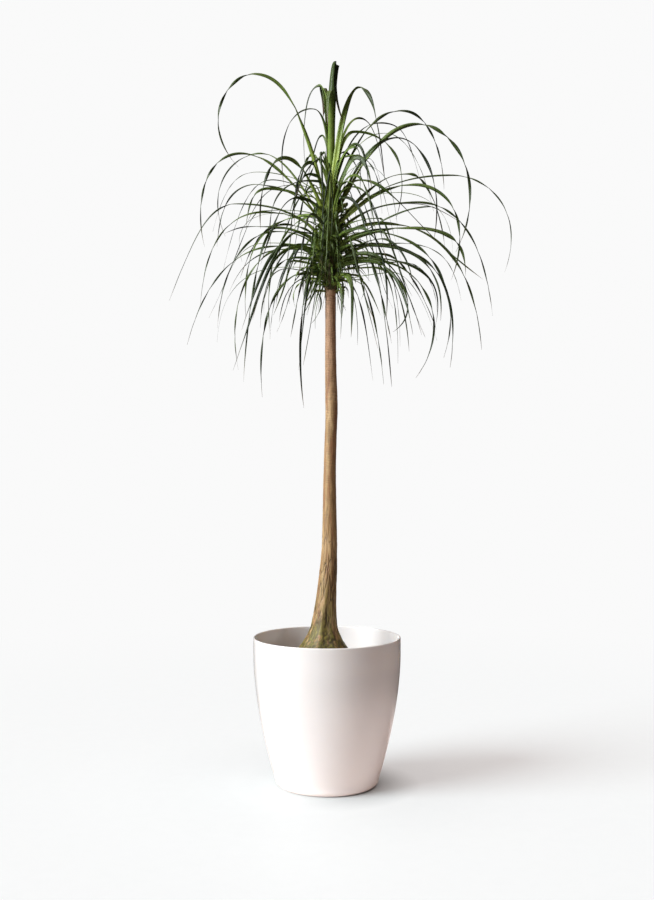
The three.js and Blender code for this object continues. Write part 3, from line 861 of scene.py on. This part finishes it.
def leaf_centres(leaf, rings, sideways, phase):
    """Points down the middle of a leaf, with its slight waver and its drift to one side."""
    azimuth = math.radians(leaf.azimuth)
    line = leaf_line(leaf)
    places = ring_places(line, rings)
    index = np.arange(len(line))
    flat = np.stack([np.interp(places, index, line[:, 0]), np.interp(places, index, line[:, 1])], axis=1)
    flat = (flat - (0, STEM_TOP)) * LEAF_INSET + (0, STEM_TOP)
    along = places / (len(line) - 1)
    waver = WANDER * np.sin(math.pi * along)
    flat[:, 0] += waver * np.sin(7.5 * along + phase)
    drift = leaf.sway * along**2 + waver * np.sin(6 * along + 1.7 * phase)
    outward = np.array((math.cos(azimuth), math.sin(azimuth), 0))
    centres = np.array((STEM_TOP_X, 0, 0)) + flat[:, :1] * outward + drift[:, None] * sideways
    centres[:, 2] += flat[:, 1]
    return centres


def blade_turn(leaf, share, phase):
    """The blade's turn about its own line, in radians, at each share of its length."""
    strength = abs(leaf.twist)
    twist = leaf.twist * (1 + TWIST_GAIN * min(1, strength / FULL_TWIST) ** 2)
    wobble = TWIST_WOBBLE * min(1, strength / 200) * ease(0.05, 0.4, share)
    wobble = wobble * np.sin(14 * share + 2.3 * phase)
    return np.radians(leaf.roll + twist * twist_share(share) + wobble)


def blade(leaf, rings, taper):
    """Rings of points round a thin channelled blade, and the share of its length at each ring."""
    azimuth = math.radians(leaf.azimuth)
    phase = 0.37 * leaf.azimuth + 0.11 * leaf.root
    sideways = np.array((-math.sin(azimuth), math.cos(azimuth), 0))
    centres = leaf_centres(leaf, rings, sideways, phase)
    along = unit(np.gradient(centres, axis=0))
    across = unit(sideways - along * (along @ sideways)[:, None])
    share = np.linspace(0, 1, rings)
    angle = blade_turn(leaf, share, phase)
    other = np.cross(along, across)
    across = across * np.cos(angle)[:, None] + other * np.sin(angle)[:, None]
    face = -np.cross(across, along)
    breadth = np.maximum(LEAF_TIP_WIDTH, leaf.width * width_share(share, taper))
    half = breadth / 2
    fold = np.radians(CHANNEL_AT_BASE - CHANNEL_LOSS * ease(0, 0.55, share))
    sheet = np.minimum(LEAF_SHEET, 0.2 * breadth) * (1 + 1.2 * np.exp(-share * 14))
    rows = []
    for u, below in BLADE_SECTION:
        lift = (abs(u) ** 1.25) * half * np.sin(fold) - below * sheet
        rows.append(centres + (u * half * np.cos(fold))[:, None] * across + lift[:, None] * face)
    return np.stack(rows, axis=1), share


def either_way(draw, low, high):
    """A twist between low and high degrees, to the left or to the right."""
    return draw(low, high) * (-1 if draw(0, 1) < 0.5 else 1)


def crest_swell(level):
    """How much further the crests reach half way up the crown than at its foot or top."""
    return math.sin(math.pi * min(1, level * 1.1))


def fill_leaves():
    """The leaves between the long ones, by turns in front of the stem and behind it, going up."""
    draw = SeededDraw(FILL_SEED)
    for i in range(FILL_LEAVES):
        level = (i + 0.5) / FILL_LEAVES
        turn = (i * GOLDEN_SHARE) % 1
        azimuth = (90 if i % 2 else 270) + FILL_SPREAD * (2 * turn - 1) + draw(-8, 8)
        root = between(FILL_ROOT, level)
        rise = between(FILL_RISE, level**1.3) * draw(0.4, 1.4)
        crest_reach = between(FILL_CREST_REACH, crest_swell(level)) * draw(0.5, 1.4)
        bow = draw(0.55, 0.95)
        tip_swell = math.sin(math.pi * (0.1 + 0.8 * level))
        tip_reach = crest_reach + between(FILL_TIP_REACH, tip_swell) * draw(0.4, 1.5)
        drop_swell = math.sin(math.pi * (0.15 + 0.8 * level))
        drop = between(FILL_DROP, drop_swell) * draw(0.5, 1.3)
        near_trunk = abs(tip_reach * math.cos(math.radians(azimuth))) < TRUNK_CLEARANCE
        crest = root + rise
        least = min(crest - FILL_LEAST_DROP, STEM_TOP)
        tip = max(crest - drop, least) if near_trunk else crest - drop
        slope = draw(-98, -55)
        width = draw(7, 13)
        twist = either_way(draw, 120, 460)
        roll = draw(-40, 40)
        sway = draw(-50, 50)
        yield Leaf(
            azimuth, root, crest_reach, crest, bow, tip_reach, tip, slope, width, twist, roll, sway,
        )


def young_leaves():
    """Thinner and younger leaves among the long ones, kept well inside their reach."""
    draw = SeededDraw(YOUNG_SEED)
    for i in range(YOUNG_LEAVES):
        level = (i + 0.5) / YOUNG_LEAVES
        azimuth = GOLDEN_ANGLE * i + 60 + draw(-20, 20)
        root = between(YOUNG_ROOT, level)
        rise = between(YOUNG_RISE, level**1.2) * draw(0.6, 1.3)
        crest_reach = between(YOUNG_CREST_REACH, crest_swell(level)) * draw(0.6, 1.3)
        tip_reach = crest_reach + draw(*YOUNG_TIP_REACH)
        low_in_front = math.sin(math.radians(azimuth)) < -0.7 and level < 0.5
        drop = draw(*YOUNG_DROP) * (0.4 if low_in_front else 1)
        crest = root + rise
        yield Leaf(
            azimuth, root, crest_reach, crest, draw(0.6, 0.95), tip_reach, crest - drop, draw(-95, -50),
            draw(4, 9), draw(-400, 400), draw(-40, 40), draw(-50, 50),
        )


def short_leaves():
    """The tangle round the foot of the crown: every other leaf is upright, the rest curl and droop."""
    draw = SeededDraw(SHORT_SEED)
    for i in range(SHORT_LEAVES):
        level = (i + 0.5) / SHORT_LEAVES
        habit = UPRIGHT if i % 2 else DROOPING
        azimuth = GOLDEN_ANGLE * i + draw(-30, 30)
        root = between(habit["root"], level)
        crest_reach = draw(*SHORT_CREST_REACH)
        crest = root + draw(*habit["rise"])
        tip_reach = crest_reach + draw(*habit["reach"])
        tip = crest - draw(*habit["drop"])
        if math.sin(math.radians(azimuth)) < -0.5:
            tip = max(tip, min(crest - 10, SHORT_LOWEST))
        yield Leaf(
            azimuth, root, crest_reach, crest, draw(0.3, 0.9), tip_reach, tip, draw(-120, -40),
            draw(*habit["width"]), either_way(draw, *SHORT_TWIST), draw(-60, 60), draw(-30, 30),
        )


def thread_leaves():
    """The thinnest leaves, hardly wider than a thread, arching out to the sides."""
    draw = SeededDraw(THREAD_SEED)
    for i in range(THREAD_LEAVES):
        level = (i + 0.5) / THREAD_LEAVES
        leftward = i % 2
        azimuth = (180 if leftward else 0) + draw(-60, 60)
        root = between(THREAD_ROOT, level)
        crest_reach = draw(*THREAD_CREST_REACH)
        crest = root + between(THREAD_RISE, level**1.2) * draw(0.6, 1.2) * (0.4 if leftward else 1)
        tip_reach = crest_reach + draw(*THREAD_TIP_REACH)
        yield Leaf(
            azimuth, root, crest_reach, crest, draw(0.4, 0.8), tip_reach, crest - draw(*THREAD_DROP),
            draw(-110, -60), draw(*THREAD_WIDTH), draw(150, 500), 0, draw(-60, 60),
        )


def make_leaves(name, leaves, rings, material, seed, known_tones_and_shade=None, tapers=None, shade_and_age=1.0):
    """One piece of many blades. Some may have a known lightness, partly painted light and shade, or narrow
    later than the rest.
    """
    draw = SeededDraw(seed)
    sides = len(BLADE_SECTION)
    vertices, faces, tones, marks = [], [], [], []
    for place, leaf in enumerate(leaves):
        points, share = blade(leaf, rings, (tapers or {}).get(place, TAPER))
        own = draw(0.0, 1.0) ** 1.2
        own = (known_tones_and_shade or {}).get(place, own)
        dry_and_shade = draw(0.0, 1.0)
        faces += shifted(tube_faces(rings, sides), len(vertices))
        vertices += list((points * MM).reshape(-1, 3))
        for part in share:
            # The share is scaled for some leaves, which lightens their painted shade and keeps their tips
            # from withering.
            tones += [(shade_and_age * part, own, dry_and_shade, 1)] * sides
            marks += [((1 + u) / 2, part * 8 + 3.7 * own) for u, _ in BLADE_SECTION]
    piece = add_mesh(name, vertices, faces, material)
    paint(piece, "leaf_tone", tones)
    mesh = piece.data
    uv = mesh.uv_layers.new(name="leaf_uv")
    corners = np.empty(len(mesh.loops), int)
    mesh.loops.foreach_get("vertex_index", corners)
    uv.data.foreach_set("uv", np.array(marks, np.float32)[corners].ravel())
    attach(piece, "root")
    return piece


def core_radius(height):
    """Radius of the stem's green top."""
    outline = np.array(CORE_OUTLINE)
    return np.interp(height, outline[:, 1], outline[:, 0])


def at_stem_top(reach, angle, height):
    """A point at this reach and angle from the middle of the stem's top, in metres."""
    return ((reach * math.cos(angle) + STEM_TOP_X) * MM, reach * math.sin(angle) * MM, height * MM)


def core_points(heights):
    """Rings of points up the knobbly green top of the stem."""
    points = []
    for z, r in zip(heights, core_radius(heights)):
        for side in range(CORE_SIDES):
            a = 2 * math.pi * side / CORE_SIDES
            bump = 1 + 0.05 * noise.noise(Vector((3 * math.cos(a), 3 * math.sin(a), z / 9)))
            points.append(at_stem_top(r * bump, a, z))
    return points


def sheath_points(draw, place):
    """The front and back of one clasping leaf base, row by row from its foot, and their tones."""
    level = place / (SHEATHS - 1)
    foot = between(SHEATH_FOOT, level**0.9) + draw(-3, 3)
    azimuth = math.radians(GOLDEN_ANGLE * place + draw(-15, 15))
    tall = draw(*SHEATH_HEIGHT) - 20 * level
    wide = draw(*SHEATH_WIDTH) - 6 * level
    peel = draw(*SHEATH_PEEL)
    lean = draw(-0.12, 0.12)
    own = draw(0, 1)
    low = max(0.0, 1 - (foot - SHEATH_BROWN_FROM) / SHEATH_BROWN_OVER)
    points, tones = [], []
    for back in (0.0, SHEATH_THICKNESS):
        for row in range(SHEATH_ROWS):
            up = row / (SHEATH_ROWS - 1)
            z = foot + tall * up
            r = max(SHEATH_LEAST_REACH, float(core_radius(z))) + 1.2 + peel * up**2 - back
            half = 0.5 * wide * (1 - 0.75 * up**2.2)
            for column in range(SHEATH_COLUMNS):
                u = 2 * column / (SHEATH_COLUMNS - 1) - 1
                a = azimuth + lean * up + u * half / r
                points.append(at_stem_top(r + 0.5 * (1 - u * u), a, z))
                tones.append((max(abs(u), up**3), own, low, 1))
    return points, tones


def sheath_faces():
    """Faces of one clasping base: its front, its back, and the rim that joins them."""
    columns, rows = SHEATH_COLUMNS, SHEATH_ROWS
    sheet = rows * columns
    faces = []
    for row in range(rows - 1):
        for column in range(columns - 1):
            a = row * columns + column
            b = a + sheet
            faces.append((a, a + 1, a + 1 + columns, a + columns))
            faces.append((b, b + columns, b + 1 + columns, b + 1))
    rim = list(range(columns))
    rim += [row * columns + columns - 1 for row in range(1, rows)]
    rim += [(rows - 1) * columns + column for column in reversed(range(columns - 1))]
    rim += [row * columns for row in reversed(range(1, rows - 1))]
    return faces + [(b, a, a + sheet, b + sheet) for a, b in zip(rim, rim[1:] + rim[:1])]


def make_leaf_bases(bark):
    """The green top of the stem, with the leaves' short clasping bases wrapped round it."""
    draw = SeededDraw(SHEATH_SEED)
    heights = np.linspace(CORE_OUTLINE[0][1], CORE_OUTLINE[-1][1], CORE_RINGS)
    vertices = core_points(heights)
    tones = [(0.6, 0.5, 0.3, 1)] * len(vertices)
    faces = tube_faces(CORE_RINGS, CORE_SIDES)
    for place in range(SHEATHS):
        points, colors = sheath_points(draw, place)
        faces += shifted(sheath_faces(), len(vertices))
        vertices += points
        tones += colors
    piece = add_mesh("leaf_bases", vertices, faces, sheath_material())
    piece.data.materials.append(bark)
    bark_faces = CORE_SIDES * int(np.searchsorted(heights, BARK_TOP))
    for polygon in piece.data.polygons[:bark_faces]:
        polygon.material_index = 1
    paint(piece, "bark", [(0, 1, 0, 1)] * len(vertices))
    paint(piece, "leaf_tone", tones)
    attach(piece, "root")


def make_crown(bark):
    """All the leaves, and the green stem top that they grow from."""
    material = leaf_material()
    make_leaf_bases(bark)
    long_leaves = [Leaf(*row) for row in LONG_LEAVES]
    long_piece = make_leaves(
        "leaves_long", long_leaves, LONG_RINGS, material, seed=3,
        known_tones_and_shade=LEAF_TONES_AND_SHADE, tapers=BLUNT_LEAVES,
    )
    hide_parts("leaf_crown")
    make_leaves("leaves_between", fill_leaves(), FILL_RINGS, material, seed=4)
    make_leaves("leaves_young", young_leaves(), FILL_RINGS, material, seed=6)
    make_leaves("leaves_short", short_leaves(), SHORT_RINGS, material, seed=9, shade_and_age=SHORT_SHADE_AND_AGE)
    make_leaves("leaves_thread", thread_leaves(), FILL_RINGS, material, seed=12)


def floor_glow(g, side, distance):
    """The floor's own light, held back close to the pot and most on the side away from the sun: a painted
    contact shadow.
    """
    contact = g.add("ShaderNodeAmbientOcclusion")
    contact.inputs["Distance"].default_value = 0.10
    shade = g.range(side, -0.10, 0.12, 0.3, 1.4)
    # Painted contact shadow: ambient occlusion dims the glow round the pot's foot, strongly on the shaded
    # side and weakly on the lit side; close to the pot it is dimmed a little more.
    hidden = g.math("SUBTRACT", contact.outputs["AO"], 1.0)
    held = g.math("ADD", g.math("MULTIPLY", hidden, shade), 1.0, clamp=True)
    near = g.range(distance, 0.15, 0.6, 0.90, 1.0)
    return g.math("MULTIPLY", g.math("MULTIPLY", held, near), FLOOR_GLOW)


def floor_bounce(g, side, distance):
    """What the floor throws back on to the pot: a painted pool of light round it, warmer to the right and
    dim further out.
    """
    dim = g.add("ShaderNodeBsdfDiffuse")
    lit = g.mix(g.range(side, -0.25, 0.25), (0.62, 0.57, 0.55), (1.0, 0.89, 0.85))
    g.join(g.mix(g.range(distance, 0.42, 1.0), lit, (0.08, 0.072, 0.068)), dim.inputs["Color"])
    return dim.outputs[0]


def floor_material():
    """A pale floor that takes the pot's shadow, with a painted contact shadow round its foot, and fades
    into the even white of the backdrop.
    """
    material, g, shader = new_material("pale_floor")
    place = g.coordinates()
    split = g.add("ShaderNodeSeparateXYZ")
    g.join(place, split.inputs[0])
    length = g.add("ShaderNodeVectorMath", operation="LENGTH")
    g.join(place, length.inputs[0])
    side, distance = split.outputs["X"], length.outputs["Value"]
    speckle = g.noise(place, 30.0, 3.0)
    stops = [(0.3, (0.425, 0.462, 0.466)), (0.7, (0.435, 0.472, 0.476))]
    g.join(g.ramp(speckle, stops), shader.inputs["Base Color"])
    set_inputs(shader, {"Roughness": 0.6, "Specular IOR Level": 0.2, "Emission Color": (1, 0.965, 0.96, 1)})
    g.join(floor_glow(g, side, distance), shader.inputs["Emission Strength"])
    glow = g.add("ShaderNodeEmission")
    set_inputs(glow, {"Color": (1, 1, 1, 1), "Strength": BACKGROUND})
    looked_at = g.blend(g.range(distance, 1.1, 2.6), shader.outputs[0], glow.outputs[0])
    camera_ray = g.add("ShaderNodeLightPath").outputs["Is Camera Ray"]
    seen = g.blend(camera_ray, floor_bounce(g, side, distance), looked_at)
    g.join(seen, g.nodes["Material Output"].inputs["Surface"])
    return material


def make_floor():
    """A wide round floor, in rings that grow outwards."""
    material = floor_material()
    angles = np.linspace(0, 2 * math.pi, FLOOR_SIDES, endpoint=False)
    vertices = [(0, 0, 0)] + [(r * math.cos(a), r * math.sin(a), 0) for r in FLOOR_RINGS for a in angles]
    faces = [(0, 1 + side, 1 + (side + 1) % FLOOR_SIDES) for side in range(FLOOR_SIDES)]
    walls = grid_faces(len(FLOOR_RINGS), FLOOR_SIDES)
    faces += shifted([(a, d, c, b) for a, b, c, d in walls], 1)
    add_mesh("floor", vertices, faces, material, smooth=False)


def add_sun():
    """The soft key light from the upper left."""
    light = bpy.data.lights.new("key", "SUN")
    light.energy = KEY_STRENGTH
    light.angle = KEY_SPREAD
    light.color = KEY_COLOR
    lamp = bpy.data.objects.new("key", light)
    lamp.rotation_euler = (-Vector(KEY_FROM)).to_track_quat("-Z", "Y").to_euler()
    bpy.context.collection.objects.link(lamp)


def make_world():
    """A warm fill, brighter overhead and from the left, with an even white backdrop behind it."""
    world = bpy.data.worlds.new("studio")
    bpy.context.scene.world = world
    world.use_nodes = True
    g = Graph(world.node_tree)
    way = g.add("ShaderNodeSeparateXYZ")
    g.join(g.coordinates("Generated"), way.inputs[0])
    overhead = g.range(way.outputs["Z"], 0.6, 0.95, 0.0, SKY_TOP)
    leftward = g.math("MULTIPLY", way.outputs["X"], -SKY_LEAN)
    frontal = g.math("MULTIPLY", way.outputs["Y"], -SKY_FRONT)
    level = g.math("MAXIMUM", g.math("ADD", g.math("ADD", leftward, frontal), SKY_SIDE), SKY_LEAST)
    fill = g.nodes["Background"]
    fill.inputs["Color"].default_value = (*SKY_COLOR, 1)
    g.join(g.math("ADD", overhead, level), fill.inputs["Strength"])
    backdrop = g.add("ShaderNodeBackground")
    set_inputs(backdrop, {"Color": (1, 1, 1, 1), "Strength": BACKGROUND})
    camera_ray = g.add("ShaderNodeLightPath").outputs["Is Camera Ray"]
    seen = g.blend(camera_ray, fill.outputs[0], backdrop.outputs[0])
    g.join(seen, g.nodes["World Output"].inputs["Surface"])


def make_camera():
    """A level camera in front of the pot, at the photograph's own distance and height."""
    camera = bpy.data.cameras.new("camera")
    camera.sensor_fit = "VERTICAL"
    camera.sensor_height = SENSOR
    camera.lens = FOCAL_PIXELS / IMAGE_HEIGHT * SENSOR
    camera.clip_end = 200
    eye = bpy.data.objects.new("camera", camera)
    eye.location = (0, -EYE_DISTANCE, EYE_HEIGHT)
    eye.rotation_euler = (math.pi / 2, 0, 0)
    bpy.context.collection.objects.link(eye)
    bpy.context.scene.camera = eye


make_pot()
palm_bark = make_trunk().data.materials[0]
make_soil()
make_crumbs()
make_crown(palm_bark)
make_floor()
make_world()
add_sun()
make_camera()
bpy.context.scene.view_settings.view_transform = "Standard"
